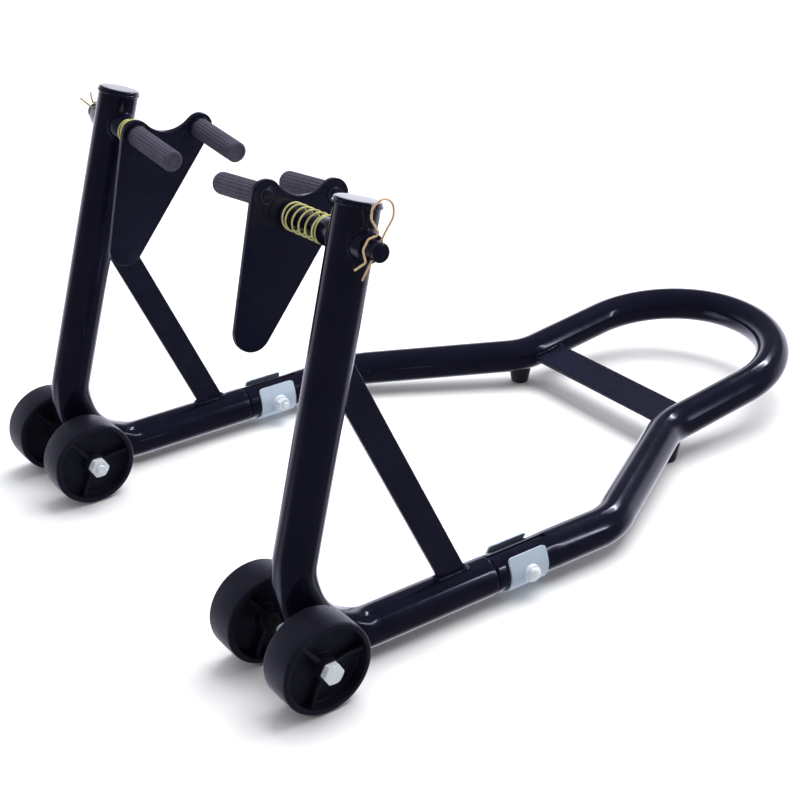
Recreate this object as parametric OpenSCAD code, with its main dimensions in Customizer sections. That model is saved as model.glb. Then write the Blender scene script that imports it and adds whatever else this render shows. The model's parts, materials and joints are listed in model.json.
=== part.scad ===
// Front paddock stand for a motorcycle: a bolted tube frame on four small wheels, with two
// sprung, swinging cradles whose ribbed pegs go under the fork legs.
// X is across the stand, +Y points to the handle, Z is up. The floor is z = 0.
// Right-hand pieces are drawn, and left-hand pieces are their mirror images.

/* [Tubes] */
// Outside diameter of the frame tube
tube_d = 38; // [34:1:42]
// Wall thickness of the frame tube
tube_wall = 2; // [1.5:0.5:3]
// Half the distance between the two lower arms
arm_x = 218; // [200:1:240]
// Centre height of the arm at its rear corner
arm_z = 22; // [21:1:30]
// Rise of the lower arms towards the handle, in degrees
arm_rise = 0.65; // [0:0.05:2]
// Bend radius between upright and arm
arm_bend = 74; // [60:1:90]
// Width left where the tube is pressed flat between the wheels
flat_w = 30; // [28:1:36]

/* [Uprights] */
// Where the corner of upright and arm lies along the stand
corner_y = -389; // [-400:1:-380]
// How far forward the upright leans, in degrees
lean_forward = 14.5; // [12:0.5:16]
// How far inward the upright leans, in degrees
lean_inward = 2.2; // [0:0.1:4]
// Height of the top of the upright's centre line
upright_top = 404; // [380:1:430]
// Thickness of the cap welded on the upright
cap_t = 3.5; // [2:0.5:6]

/* [Handle] */
// Where the arm ends and the handle tube begins
joint_y = -163.5; // [-175:0.5:-155]
// Where the handle tube turns inward
shoulder_y = -11; // [-20:1:0]
// Where the handle tube straightens again
neck_y = 163; // [150:1:175]
// Centre height of the handle tube at the neck
neck_z = 34.5; // [32:0.5:38]
// Half the width of the handle loop, which is also its bend radius
loop_r = 118; // [100:1:130]
// Where the centre of the tube crosses the end of the loop
loop_end_y = 397.6; // [380:0.1:410]
// Centre height of the tube at the end of the loop
loop_end_z = 67; // [55:1:80]
// Bend radius at shoulder and neck
neck_bend = 70; // [60:1:80]

/* [Flat bars] */
// Width of the two braces
brace_w = 27; // [20:1:30]
// Thickness of the two braces
brace_t = 5; // [4:0.5:6]
// Height at which the middle of the brace meets the upright
brace_top_z = 267; // [220:1:280]
// Where the middle of the brace meets the arm
brace_foot_y = -202; // [-215:1:-198]
// Width of the crossbar
cross_w = 41; // [30:1:50]
// Thickness of the crossbar
cross_t = 5; // [4:0.5:6]
// Where the middle of the crossbar lies
cross_y = 186; // [180:1:200]

/* [Clamp joint] */
// Length of the clamp bracket along the tube
clamp_len = 44; // [36:1:50]
// Sheet thickness of the clamp bracket
clamp_t = 2; // [1.5:0.5:3]
// Lean of the bracket's open edges towards each other, in degrees
clamp_lean = 23; // [15:1:25]
// Length of the slot in the handle tube
slot_len = 65.5; // [50:0.5:70]
// Width of the slot in the handle tube
slot_w = 6; // [4:0.5:8]
// Length of the inner sleeve on each side of the joint
sleeve_len = 80; // [70:1:90]
// Diameter of the clamp bolt
clamp_bolt_d = 8; // [6:1:8]

/* [Wheels] */
// Diameter of a wheel
wheel_d = 86; // [80:1:90]
// Width of a wheel
wheel_w = 34; // [28:1:36]
// Gap between the two wheels of a pair
wheel_gap = 54; // [50:1:56]
// Middle of a pair of wheels
wheel_x = 214; // [213:1:217]
// Where the axle lies along the stand
axle_y = -373.6; // [-376:0.1:-370]
// Diameter of the axle bolt
axle_d = 10; // [8:1:10]
// Depth of the recess in a wheel's face
recess_depth = 11; // [6:1:13]
// Angle of the first rib of a wheel's three, in degrees
rib_angle = 8; // [0:1:119]

/* [Cradles] */
// Height where the pivot pin crosses the upright's centre line
pin_z = 375; // [365:1:382]
// Droop of the pin towards the middle of the stand, in degrees
pin_droop = 2.6; // [0:0.1:8]
// Extra droop of the cradle plate and its pegs against the pin, in degrees
plate_droop = 3.6; // [0:0.1:6]
// How far the right cradle has swung backward and the left one forward, in degrees
swing = 3.2; // [0:0.1:6]
// Diameter of the pivot pin
pin_d = 16; // [12:0.5:17]
// Outside diameter of the welded pivot bush
bush_d = 25; // [22:1:27]
// Distance from the upright's centre line to the middle of the cradle plate
plate_reach = 90; // [85:1:95]
// Thickness of the cradle plate
plate_t = 5; // [4:0.5:6]
// Length of a peg
peg_len = 69; // [50:1:70]
// Outside diameter of a ribbed peg sleeve
peg_d = 19.4; // [18:0.1:22]
// Number of ribs on a peg sleeve
peg_ribs = 20; // [16:1:24]
// Outside diameter of the spring
spring_d = 25; // [23:0.5:26]
// Wire diameter of the spring
spring_wire = 1.6; // [1.4:0.1:2.4]
// Number of coils
spring_coils = 6.5; // [5:0.5:8]
// Wire diameter of the spring clip through the pin
clip_wire = 1.8; // [1.4:0.1:2.4]

/* [Feet] */
// Distance of a foot from the middle of the stand
foot_x = 123; // [118:1:126]
// Where the feet lie along the stand
foot_y = 162; // [155:1:170]
// Diameter of a foot at the floor
foot_d = 20; // [16:1:24]
// Diameter of a foot under the tube
foot_top_d = 26; // [22:1:28]

/* [Hidden] */
$fn = 64;

tube_r = tube_d / 2;
bore_r = tube_r - tube_wall;
black = [0.06, 0.06, 0.09];
zinc = [0.78, 0.82, 0.88];

// Points of the frame's centre lines
function arm_height(y) = arm_z + (y - corner_y) * tan(arm_rise);
upright_h = upright_top - arm_z;
corner = [arm_x, corner_y, arm_z];
top = [arm_x - upright_h * tan(lean_inward), corner_y + upright_h * tan(lean_forward), upright_top];
arm_end = [arm_x, joint_y, arm_height(joint_y)];
handle_slope = atan((loop_end_z - neck_z) / (loop_end_y - neck_y));
function mirrored(p) = [-p[0], p[1], p[2]];
half_handle = [
    [arm_x, joint_y + 1, arm_height(joint_y + 1)],
    [arm_x, shoulder_y, arm_height(shoulder_y)],
    [loop_r, neck_y, neck_z],
    [loop_r, loop_end_y, loop_end_z]];
handle_path = concat(half_handle, [for (i = [3:-1:0]) mirrored(half_handle[i])]);
handle_bends = [neck_bend, neck_bend, loop_r - 1, loop_r - 1, neck_bend, neck_bend];

// Clamp bolt position
clamp_y = joint_y + 13;
bolt_y = clamp_y + 23;

// Pivot frame: local z runs outward along the pin, local -x is up, local y is along the stand
pin_p = corner + (top - corner) * ((pin_z - arm_z) / upright_h);
bush_in = -32;
bush_out = tube_r + 8;
plate_in = -plate_reach - plate_t / 2;
plate_out = -plate_reach + plate_t / 2;
pin_end = 42;
clip_at = bush_out + 7;
clip_tilt = -31;
left_clip_turn = 253;
collar_r = 12;
collar_h = 4.5;
run_gap = 0.07;
rear_lug = [-21.5, 18.2];
front_lug = [43.5, 10.7];
tip = [-41, -92.3];
lug_r = 14;
tip_r = 17.5;
peg_core_r = 6;

wheel_r = wheel_d / 2;
inner_wheel_x = wheel_x - wheel_gap / 2 - wheel_w;
outer_wheel_x = wheel_x + wheel_gap / 2;
washer_t = 2;
head_h = 6.4;
axle_r = axle_d / 2;

function unit(v) = v / norm(v);
// Place children so that +Z runs from a to b
module along(a, b) {
    d = b - a;
    translate(a) rotate([0, acos(d[2] / norm(d)), atan2(d[1], d[0])]) children();
}
module straight(a, b, ro, ri) {
    len = norm(b - a);
    along(a, b) difference() {
        cylinder(h = len, r = ro);
        if (ri > 0) translate([0, 0, -1]) cylinder(h = len + 2, r = ri);
    }
}
function turn_at(p, i) = 180 - acos(unit(p[i - 1] - p[i]) * unit(p[i + 1] - p[i]));
function setback(p, i, r) = r * tan(turn_at(p, i) / 2);
// One bend of radius r at point i of path p
module bend(p, i, r, ro, ri, step) {
    u = unit(p[i - 1] - p[i]);
    v = unit(p[i + 1] - p[i]);
    turn = turn_at(p, i);
    c = p[i] + unit(u + v) * r / cos(turn / 2);
    e1 = unit(p[i] + u * setback(p, i, r) - c);
    e2 = -u;
    e3 = cross(e1, e2);
    multmatrix([
        [e1[0], e2[0], e3[0], c[0]],
        [e1[1], e2[1], e3[1], c[1]],
        [e1[2], e2[2], e3[2], c[2]],
        [0, 0, 0, 1]])
        rotate_extrude(angle = turn) translate([r, 0]) difference() {
            circle(r = ro - step);
            if (ri > 0) circle(r = ri + step);
        }
}
// A round tube or rod bent along the points p, with the radii b at its inner points.
// Each straight laps into its bends, whose wall is thinner by step, so the pieces join cleanly.
module bent(p, b, ro, ri = 0, step = 0.03, lap = 0.4) {
    last = len(p) - 1;
    for (i = [0:last - 1]) {
        dir = unit(p[i + 1] - p[i]);
        from = i == 0 ? p[0] : p[i] + dir * (setback(p, i, b[i - 1]) - lap);
        to = i == last - 1 ? p[last] : p[i + 1] - dir * (setback(p, i + 1, b[i]) - lap);
        straight(from, to, ro, ri);
    }
    for (i = [1:last - 1]) bend(p, i, b[i - 1], ro, ri, step);
}
module left() { mirror([1, 0, 0]) children(); }
module hex(af, h) { cylinder(h = h, r = af / 2 / cos(30), $fn = 6); }
module ring(ro, ri, h) {
    difference() {
        cylinder(h = h, r = ro);
        translate([0, 0, -1]) cylinder(h = h + 2, r = ri);
    }
}
// Place children in the pivot frame of the right side
module at_pivot() { translate(pin_p) rotate([0, 90 - pin_droop, 0]) children(); }
// Place children in the frame of the cradle plate, which droops more than the pin and has swung
module at_plate(turn) {
    at_pivot() rotate([0, 0, turn]) translate([0, 0, -plate_reach]) rotate([0, -plate_droop, 0])
        translate([0, 0, plate_reach]) children();
}

// ---- handle ----
module clamp_hole() {
    translate([arm_x - 40, bolt_y, arm_height(bolt_y)])
        rotate([0, 90, 0]) cylinder(h = 80, r = clamp_bolt_d / 2 + 0.3);
}
module tube_slot() {
    translate([arm_x - slot_w / 2, joint_y - 1, arm_height(joint_y) + bore_r - 6])
        cube([slot_w, slot_len + 1, 20]);
    translate([arm_x, joint_y + slot_len, arm_height(joint_y) + bore_r - 6])
        cylinder(h = 20, r = slot_w / 2);
}
module handle_tube() {
    color(black) difference() {
        bent(handle_path, handle_bends, tube_r, bore_r);
        for (s = [0, 1]) mirror([s, 0, 0]) {
            clamp_hole();
            tube_slot();
        }
    }
}
module handle_crossbar() {
    z = neck_z + (cross_y - neck_y) * tan(handle_slope);
    color(black) difference() {
        translate([0, cross_y, z]) rotate([handle_slope, 0, 0])
            cube([2 * loop_r, cross_w, cross_t], center = true);
        bent(handle_path, handle_bends, tube_r);
    }
}

// ---- arm and upright ----
arm_path = [top, corner, arm_end];
up_dir = unit(top - corner);
arm_dir = unit(arm_end - corner);
arm_setback = setback(arm_path, 1, arm_bend);
flat_extra = 18;
flat_top = corner + up_dir * (arm_setback + flat_extra);
flat_end = corner + arm_dir * (arm_setback + flat_extra);
flat_path = [flat_top, corner, flat_end];
flat_bore_path = [flat_top + up_dir, corner, flat_end + arm_dir];
module slab(w) {
    translate(corner) rotate([0, -lean_inward, 0]) translate([-w / 2, -60, -40]) cube([w, 180, 220]);
}
// The pressed length is thinned to flat_w, and keeps its wall
module pressed_length() {
    difference() {
        intersection() {
            bent(flat_path, [arm_bend], tube_r);
            slab(flat_w);
        }
        intersection() {
            bent(flat_bore_path, [arm_bend], bore_r);
            slab(flat_w - 2 * tube_wall);
        }
    }
}
// Closes the step between the round tube and its pressed length, and laps into both
module shoulder(at, dir) {
    difference() {
        along(at - dir * 0.5, at + dir) cylinder(h = tube_wall + 0.5, r = tube_r - 0.03);
        intersection() {
            along(at - dir * 2, at + dir) cylinder(h = tube_wall + 4, r = bore_r + 0.03);
            slab(flat_w - 2 * tube_wall + 0.06);
        }
    }
}
module right_arm_tube() {
    color(black) difference() {
        union() {
            straight(flat_top + up_dir * (tube_wall - 0.5), top, tube_r, bore_r);
            shoulder(flat_top, up_dir);
            pressed_length();
            shoulder(flat_end, arm_dir);
            straight(flat_end + arm_dir * (tube_wall - 0.5), arm_end, tube_r, bore_r);
        }
        translate([arm_x, axle_y, wheel_r]) rotate([0, 90, 0])
            cylinder(h = 80, r = axle_r, center = true);
        at_pivot() cylinder(h = 80, r = bush_d / 2, center = true);
    }
}
module right_arm_sleeve() {
    mid = arm_height(joint_y);
    dir = arm_dir * sleeve_len;
    c = [arm_x, joint_y, mid];
    color(black) difference() {
        straight(c - dir, c + dir, bore_r - 0.1, bore_r - 2.5);
        clamp_hole();
    }
}
module right_brace() {
    foot = [arm_x, brace_foot_y, arm_height(brace_foot_y) + tube_r - 6];
    k = (brace_top_z - arm_z) / upright_h;
    head = corner + (top - corner) * k + [0, tube_r - 6, 0];
    d = head - foot;
    len = norm(d);
    up = atan2(d[2], d[1]);
    side = asin(d[0] / len);
    color(black) difference() {
        translate(foot) rotate([up, 0, 0]) rotate([0, 0, -side])
            translate([-brace_t / 2, -12, -brace_w / 2]) cube([brace_t, len + 24, brace_w]);
        bent(arm_path, [arm_bend], tube_r);
    }
}
module right_top_cap() {
    color(black) along(top, top + up_dir) difference() {
        cylinder(h = cap_t, r = tube_r + 0.6);
        translate([0, 0, cap_t - 1]) difference() {
            cylinder(h = 2, r = tube_r + 2);
            translate([0, 0, -0.5]) cylinder(h = 2, r1 = tube_r + 1.1, r2 = tube_r - 0.9);
        }
    }
}
module right_pivot_bush() {
    color(black) at_pivot() translate([0, 0, bush_in])
        ring(bush_d / 2, pin_d / 2 + run_gap, bush_out - bush_in);
}

// ---- clamp joint ----
// The bracket is round under the tube, with two straight edges that lean together
module bracket_sheet() {
    side = [cos(clamp_lean), sin(clamp_lean)] * 60;
    linear_extrude(clamp_len) difference() {
        circle(r = tube_r + clamp_t);
        circle(r = tube_r);
        polygon([[0, 0], side, [0, 90], [-side[0], side[1]]]);
    }
    for (s = [0, 1]) mirror([s, 0, 0]) difference() {
        rotate([0, 0, clamp_lean]) translate([tube_r + 0.05, -1, 0.02])
            cube([clamp_t - 0.1, 20, clamp_len - 0.04]);
        translate([-30, tube_r, -1]) cube([60, 30, clamp_len + 2]);
    }
}
module right_clamp_bracket() {
    color(zinc) translate([arm_x, clamp_y, arm_height(clamp_y)]) rotate([arm_rise, 0, 0])
        difference() {
            rotate([90, 0, 0]) translate([0, 0, -clamp_len]) bracket_sheet();
            translate([-40, bolt_y - clamp_y, 0]) rotate([0, 90, 0])
                cylinder(h = 80, r = clamp_bolt_d / 2 + 0.3);
        }
}
module at_clamp_bolt() {
    translate([arm_x, bolt_y, arm_height(bolt_y)]) rotate([0, 90, 0]) children();
}
washer_face = tube_r + clamp_t + 3;
module right_clamp_washers() {
    color(zinc) for (s = [0, 1]) difference() {
        at_clamp_bolt() mirror([0, 0, s]) translate([0, 0, tube_r]) ring(8.5, 4.3, 5);
        straight(arm_end, half_handle[1], tube_r + clamp_t, 0);
    }
}
module right_clamp_bolt() {
    color(zinc) at_clamp_bolt() {
        translate([0, 0, -washer_face - 9.5]) cylinder(h = 2 * washer_face + 9.5, r = clamp_bolt_d / 2);
        translate([0, 0, washer_face]) intersection() {
            cylinder(h = 5, r = 7);
            translate([0, 0, -5]) sphere(r = 9.4);
        }
    }
}
module right_clamp_nut() {
    color(zinc) at_clamp_bolt() translate([0, 0, -washer_face - 6.5]) difference() {
        hex(13, 6.5);
        translate([0, 0, -1]) cylinder(h = 9, r = clamp_bolt_d / 2);
    }
}

// ---- feet ----
module foot_blank() {
    translate([foot_x, foot_y, 0]) cylinder(h = 22, r1 = foot_d / 2, r2 = foot_top_d / 2 + 0.5);
}
module right_foot() {
    color([0.03, 0.03, 0.03]) difference() {
        foot_blank();
        bent(handle_path, handle_bends, tube_r);
        translate([foot_x, foot_y, 5]) cylinder(h = 30, r = 4);
    }
}
module right_foot_stud() {
    color(black) difference() {
        translate([foot_x, foot_y, 5]) cylinder(h = 20, r = 4);
        bent(handle_path, handle_bends, tube_r);
    }
}

// ---- wheels ----
module at_axle(x) { translate([x, axle_y, wheel_r]) rotate([0, 90, 0]) children(); }
module wheel_profile() {
    e = 4;
    lip = wheel_r - 6;
    difference() {
        union() {
            translate([axle_r + run_gap, 0]) square([wheel_r - e - axle_r - run_gap, wheel_w]);
            translate([axle_r + run_gap, e]) square([wheel_r - axle_r - run_gap, wheel_w - 2 * e]);
            for (z = [e, wheel_w - e]) translate([wheel_r - e, z]) circle(r = e);
        }
        for (s = [0, 1]) translate([0, s * wheel_w]) mirror([0, s]) {
            translate([11, -1]) square([lip - 11, recess_depth + 1]);
            translate([0, -1]) square([11.5, 1.01]);
        }
    }
}
module wheel(x) {
    color([0.05, 0.05, 0.06]) at_axle(x) {
        rotate_extrude() wheel_profile();
        for (s = [0, 1]) translate([0, 0, s * wheel_w]) mirror([0, 0, s])
            for (a = [0:120:240]) rotate(90 + rib_angle + a) translate([10.5, -2, 4])
                cube([wheel_r - 16, 4, recess_depth - 3]);
    }
}
axle_out = outer_wheel_x + wheel_w + washer_t;
axle_in = inner_wheel_x - washer_t;
module right_axle_bolt() {
    color(zinc) {
        at_axle(axle_in - 12) cylinder(h = axle_out - axle_in + 12, r = axle_r);
        at_axle(axle_out) intersection() {
            hex(17, head_h);
            translate([0, 0, -5]) cylinder(h = head_h + 5, r1 = 15, r2 = 8.6);
        }
    }
}
module right_axle_nut() {
    color(zinc) at_axle(axle_in - 8.4) difference() {
        hex(17, 8.4);
        translate([0, 0, -1]) cylinder(h = 11, r = axle_r);
    }
}
module right_axle_washers() {
    color(zinc) {
        at_axle(axle_in) ring(10, axle_r, washer_t - 0.1);
        at_axle(axle_out - washer_t + 0.1) ring(10, axle_r, washer_t - 0.1);
    }
}
module right_axle_spacers() {
    mid = arm_x - (wheel_r - arm_z) * tan(lean_inward);
    half = flat_w / 2 + 0.35;
    from = inner_wheel_x + wheel_w + 0.1;
    color(zinc) {
        at_axle(from) ring(8, axle_r, mid - half - from);
        at_axle(mid + half) ring(8, axle_r, outer_wheel_x - 0.1 - mid - half);
    }
}

// ---- cradle ----
// A point of the plate, given as distance along the stand and height above the pin
function flat(p) = [-p[1], p[0]];
function tangent_dir(a, ra, b, rb) = atan2((b - a)[1], (b - a)[0]) + acos((ra - rb) / norm(b - a));
// Corner points of the belt around two circles, drawn a hair inside them
function belt(a, ca, b, cb) =
    let (ra = ca - 0.03, rb = cb - 0.03)
    let (t = tangent_dir(a, ra, b, rb))
    let (q = 2 * atan2((b - a)[1], (b - a)[0]) - t)
    [a, a + ra * [cos(t), sin(t)], b + rb * [cos(t), sin(t)], b,
        b + rb * [cos(q), sin(q)], a + ra * [cos(q), sin(q)]];
// The hollow between the lugs: a circle that just touches both lugs
valley_r = 31;
valley_c = [14.6, 45.3];
module plate_blank() {
    r = flat(rear_lug);
    f = flat(front_lug);
    t = flat(tip);
    for (c = [[r, lug_r], [f, lug_r], [t, tip_r]]) translate(c[0]) cylinder(h = plate_t, r = c[1]);
    linear_extrude(plate_t) polygon(belt(r, lug_r, t, tip_r));
    linear_extrude(plate_t) polygon(belt(f, lug_r, t, tip_r));
    difference() {
        linear_extrude(plate_t) polygon([r, flat(valley_c), f, t]);
        translate(flat(valley_c)) translate([0, 0, -1]) cylinder(h = plate_t + 2, r = valley_r);
    }
}
module cradle_plate(turn) {
    color(black) at_plate(turn) translate([0, 0, plate_in]) difference() {
        plate_blank();
        for (p = [rear_lug, front_lug]) translate(flat(p)) translate([0, 0, -1])
            cylinder(h = plate_t + 2, r = peg_core_r);
    }
}
// The pin has a welded collar at the plate, and its inner end follows the plate's face
module pivot_pin(turn, hole_turn) {
    slope = 1.2;
    color(black) difference() {
        at_pivot() union() {
            translate([0, 0, plate_out - slope])
                cylinder(h = pin_end - 1 - plate_out + slope, r = pin_d / 2);
            translate([0, 0, pin_end - 1]) cylinder(h = 1, r1 = pin_d / 2, r2 = pin_d / 2 - 1);
            translate([0, 0, plate_out - slope])
                cylinder(h = collar_h + slope, r1 = collar_r + 1, r2 = pin_d / 2);
        }
        at_plate(turn) translate([-30, -30, plate_out - 30]) cube([60, 60, 30]);
        at_pivot() translate([0, 0, clip_at]) rotate([0, 0, turn + clip_tilt + hole_turn])
            rotate([0, 90, 0]) cylinder(h = 30, r = clip_wire / 2 + 0.15, center = true);
    }
}
module peg_core(p, turn) {
    color([0.3, 0.3, 0.32]) at_plate(turn) translate(flat(p))
        translate([0, 0, plate_in - peg_len + 3]) cylinder(h = peg_len + plate_t - 2.5, r = peg_core_r);
}
module peg_sleeve(p, turn) {
    color([0.22, 0.22, 0.25]) at_plate(turn) translate(flat(p)) translate([0, 0, plate_in - peg_len])
        difference() {
            linear_extrude(peg_len) difference() {
                circle(r = peg_d / 2);
                for (a = [0:360 / peg_ribs:359]) rotate(a) translate([peg_d / 2 + 0.25, 0])
                    circle(r = 0.85, $fn = 16);
            }
            translate([0, 0, 3]) cylinder(h = peg_len, r = peg_core_r);
        }
}
// Spring: a wire swept round a helix between the bush and the plate
spring_from = plate_out + collar_h + 0.2;
spring_to = bush_in - 0.3;
spring_r = (spring_d - spring_wire) / 2;
spring_steps = 18;
spring_sides = 8;
function helix_z(k) =
    let (u = k / (spring_coils * spring_steps))
    let (e = max(0, min(1, (u * spring_coils - 0.75) / (spring_coils - 1.5))))
    spring_from + spring_wire / 2 + (spring_to - spring_from - spring_wire) * e;
function helix_point(k, a) =
    let (t = 360 * k / spring_steps)
    let (r = spring_r + spring_wire / 2 * cos(a))
    [r * cos(t), r * sin(t), helix_z(k) + spring_wire / 2 * sin(a)];
module right_spring() {
    n = spring_coils * spring_steps;
    m = spring_sides;
    pts = [for (k = [0:n]) for (j = [0:m - 1]) helix_point(k, 360 * j / m)];
    skin = [for (k = [0:n - 1]) for (j = [0:m - 1])
        [k * m + j, k * m + (j + 1) % m, (k + 1) * m + (j + 1) % m, (k + 1) * m + j]];
    ends = [[for (j = [m - 1:-1:0]) j], [for (j = [0:m - 1]) n * m + j]];
    color([0.8, 0.72, 0.3]) at_pivot() polyhedron(pts, concat(skin, ends), convexity = 10);
}
// Spring clip: a straight leg through the pin, an open loop and a wavy leg round the pin
clip_path = [
    [0, -25, 0], [0, 16, 0], [1, 29, 0], [-5, 38.5, 0], [-15.5, 38, 0], [-21.5, 28, 0],
    [-17.5, 19.5, 0], [-3.8, 12.3, 0], [-11.8, 5, 0], [-11.8, -4, 0], [-4.2, -11.3, 0],
    [-10.9, -20.5, 0]];
clip_bends = [12, 9, 8, 8, 7, 6, 2.5, 3.5, 3.5, 2];
module clip_at_pin(turn) {
    color([0.8, 0.55, 0.3]) at_pivot() translate([0, 0, clip_at]) rotate([0, 0, turn + clip_tilt])
        rotate([0, 0, 90]) bent(clip_path, clip_bends, clip_wire / 2, 0, 0.01, 0.1, $fn = 24);
}
module right_r_clip() { clip_at_pin(-swing); }
module left_r_clip() { left() clip_at_pin(swing + left_clip_turn); }

module right_outer_wheel() { wheel(outer_wheel_x); }
module right_inner_wheel() { wheel(inner_wheel_x); }
module left_outer_wheel() { left() right_outer_wheel(); }
module left_inner_wheel() { left() right_inner_wheel(); }
module right_cradle_plate() { cradle_plate(-swing); }
module right_pivot_pin() { pivot_pin(-swing, 0); }
module right_front_peg_core() { peg_core(front_lug, -swing); }
module right_rear_peg_core() { peg_core(rear_lug, -swing); }
module left_front_peg_core() { left() peg_core(front_lug, swing); }
module left_rear_peg_core() { left() peg_core(rear_lug, swing); }
module right_front_peg_sleeve() { peg_sleeve(front_lug, -swing); }
module right_rear_peg_sleeve() { peg_sleeve(rear_lug, -swing); }
module left_front_peg_sleeve() { left() peg_sleeve(front_lug, swing); }
module left_rear_peg_sleeve() { left() peg_sleeve(rear_lug, swing); }
module left_arm_tube() { left() right_arm_tube(); }
module left_arm_sleeve() { left() right_arm_sleeve(); }
module left_brace() { left() right_brace(); }
module left_top_cap() { left() right_top_cap(); }
module left_pivot_bush() { left() right_pivot_bush(); }
module left_clamp_bracket() { left() right_clamp_bracket(); }
module left_clamp_bolt() { left() right_clamp_bolt(); }
module left_clamp_nut() { left() right_clamp_nut(); }
module left_clamp_washers() { left() right_clamp_washers(); }
module left_foot() { left() right_foot(); }
module left_foot_stud() { left() right_foot_stud(); }
module left_axle_bolt() { left() right_axle_bolt(); }
module left_axle_nut() { left() right_axle_nut(); }
module left_axle_washers() { left() right_axle_washers(); }
module left_axle_spacers() { left() right_axle_spacers(); }
module left_spring() { left() right_spring(); }
module left_cradle_plate() { left() cradle_plate(swing); }
module left_pivot_pin() { left() pivot_pin(swing, left_clip_turn); }

handle_tube();
handle_crossbar();
right_arm_tube();
left_arm_tube();
right_arm_sleeve();
left_arm_sleeve();
right_brace();
left_brace();
right_top_cap();
left_top_cap();
right_pivot_bush();
left_pivot_bush();
right_clamp_bracket();
left_clamp_bracket();
right_clamp_bolt();
left_clamp_bolt();
right_clamp_nut();
left_clamp_nut();
right_clamp_washers();
left_clamp_washers();
right_foot();
left_foot();
right_foot_stud();
left_foot_stud();
right_axle_bolt();
left_axle_bolt();
right_axle_nut();
left_axle_nut();
right_axle_washers();
left_axle_washers();
right_axle_spacers();
left_axle_spacers();
right_outer_wheel();
right_inner_wheel();
left_outer_wheel();
left_inner_wheel();
right_spring();
left_spring();
right_cradle_plate();
left_cradle_plate();
right_pivot_pin();
left_pivot_pin();
right_front_peg_core();
right_rear_peg_core();
left_front_peg_core();
left_rear_peg_core();
right_front_peg_sleeve();
right_rear_peg_sleeve();
left_front_peg_sleeve();
left_rear_peg_sleeve();
right_r_clip();
left_r_clip();
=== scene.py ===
"""Looks for a front paddock stand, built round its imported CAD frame.

Sizes below are millimetres in the row frame: x is across, +y points to the handle, z is up.
Pieces that come in pairs are made for the right side and mirrored for the left.
"""
import json
import math
import random

import bmesh
import bpy
from mathutils import Matrix, Vector


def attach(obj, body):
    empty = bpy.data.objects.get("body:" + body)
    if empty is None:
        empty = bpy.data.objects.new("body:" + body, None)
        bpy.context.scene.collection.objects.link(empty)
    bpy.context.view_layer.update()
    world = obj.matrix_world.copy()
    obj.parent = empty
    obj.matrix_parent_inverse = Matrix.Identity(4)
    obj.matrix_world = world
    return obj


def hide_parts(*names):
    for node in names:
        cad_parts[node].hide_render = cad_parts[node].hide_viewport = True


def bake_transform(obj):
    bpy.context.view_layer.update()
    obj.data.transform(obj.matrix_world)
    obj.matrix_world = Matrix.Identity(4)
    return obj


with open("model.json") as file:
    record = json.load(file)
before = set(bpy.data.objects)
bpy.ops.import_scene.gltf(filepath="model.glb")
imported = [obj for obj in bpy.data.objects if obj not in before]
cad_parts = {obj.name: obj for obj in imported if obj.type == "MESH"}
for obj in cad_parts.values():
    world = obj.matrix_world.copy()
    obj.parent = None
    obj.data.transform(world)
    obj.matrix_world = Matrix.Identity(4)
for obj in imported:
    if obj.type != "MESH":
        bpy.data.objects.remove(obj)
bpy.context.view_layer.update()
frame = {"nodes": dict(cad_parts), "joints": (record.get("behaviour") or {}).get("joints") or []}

MM = 0.001
X, Y, Z = Vector((1, 0, 0)), Vector((0, 1, 0)), Vector((0, 0, 1))
joint_at = {j["name"]: Vector(j["pos_m"]) / MM for j in frame["joints"] if "pos_m" in j}
joint_axis = {j["name"]: Vector(j["axis"]).normalized() for j in frame["joints"]}


# ---------------------------------------------------------------- camera
CAMERA_AT = Vector((1.1269, -0.9173, 0.7854))  # metres
CAMERA_TURN = (54.246, 26.170, -0.156)         # azimuth, elevation and roll in degrees
LENS, SENSOR, SHIFT = 68.46, 36, (0.00227, -0.00339)


def make_camera():
    azimuth, elevation, roll = (math.radians(a) for a in CAMERA_TURN)
    ahead = Vector((-math.sin(azimuth) * math.cos(elevation),
                    math.cos(azimuth) * math.cos(elevation), -math.sin(elevation)))
    level = Vector((math.cos(azimuth), math.sin(azimuth), 0))
    above = level.cross(ahead)
    right = level * math.cos(roll) + above * math.sin(roll)
    up = above * math.cos(roll) - level * math.sin(roll)
    data = bpy.data.cameras.new("camera")
    data.lens, data.sensor_width = LENS, SENSOR
    data.shift_x, data.shift_y = SHIFT
    camera = bpy.data.objects.new("camera", data)
    turn = Matrix((right, up, -ahead)).transposed().to_4x4()
    camera.matrix_world = Matrix.Translation(CAMERA_AT) @ turn
    bpy.context.scene.collection.objects.link(camera)
    bpy.context.scene.camera = camera


make_camera()


# ---------------------------------------------------------------- finishes
def node(tree, kind, values=None, **props):
    made = tree.nodes.new("ShaderNode" + kind)
    for key, value in props.items():
        setattr(made, key, value)
    for key, value in (values or {}).items():
        if isinstance(value, bpy.types.NodeSocket):
            tree.links.new(value, made.inputs[key])
        else:
            made.inputs[key].default_value = value
    return made


def blend_of(tree, factor, low, high, start=0.3, end=0.7):
    """A colour that goes from low to high as factor goes from start to end."""
    ramp = node(tree, "ValToRGB", {0: factor})
    for stop, place, colour in zip(ramp.color_ramp.elements, (start, end), (low, high)):
        stop.position, stop.color = place, (*colour, 1)
    return ramp.outputs[0]


def spread(tree, factor, low, high, start=0.3, end=0.7):
    return node(tree, "MapRange", {0: factor, 1: start, 2: end, 3: low, 4: high}).outputs[0]


def noise(tree, where, scale, detail=3.0, roughness=0.5):
    return node(tree, "TexNoise", {"Vector": where, "Scale": scale, "Detail": detail,
                                   "Roughness": roughness}).outputs[0]


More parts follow.
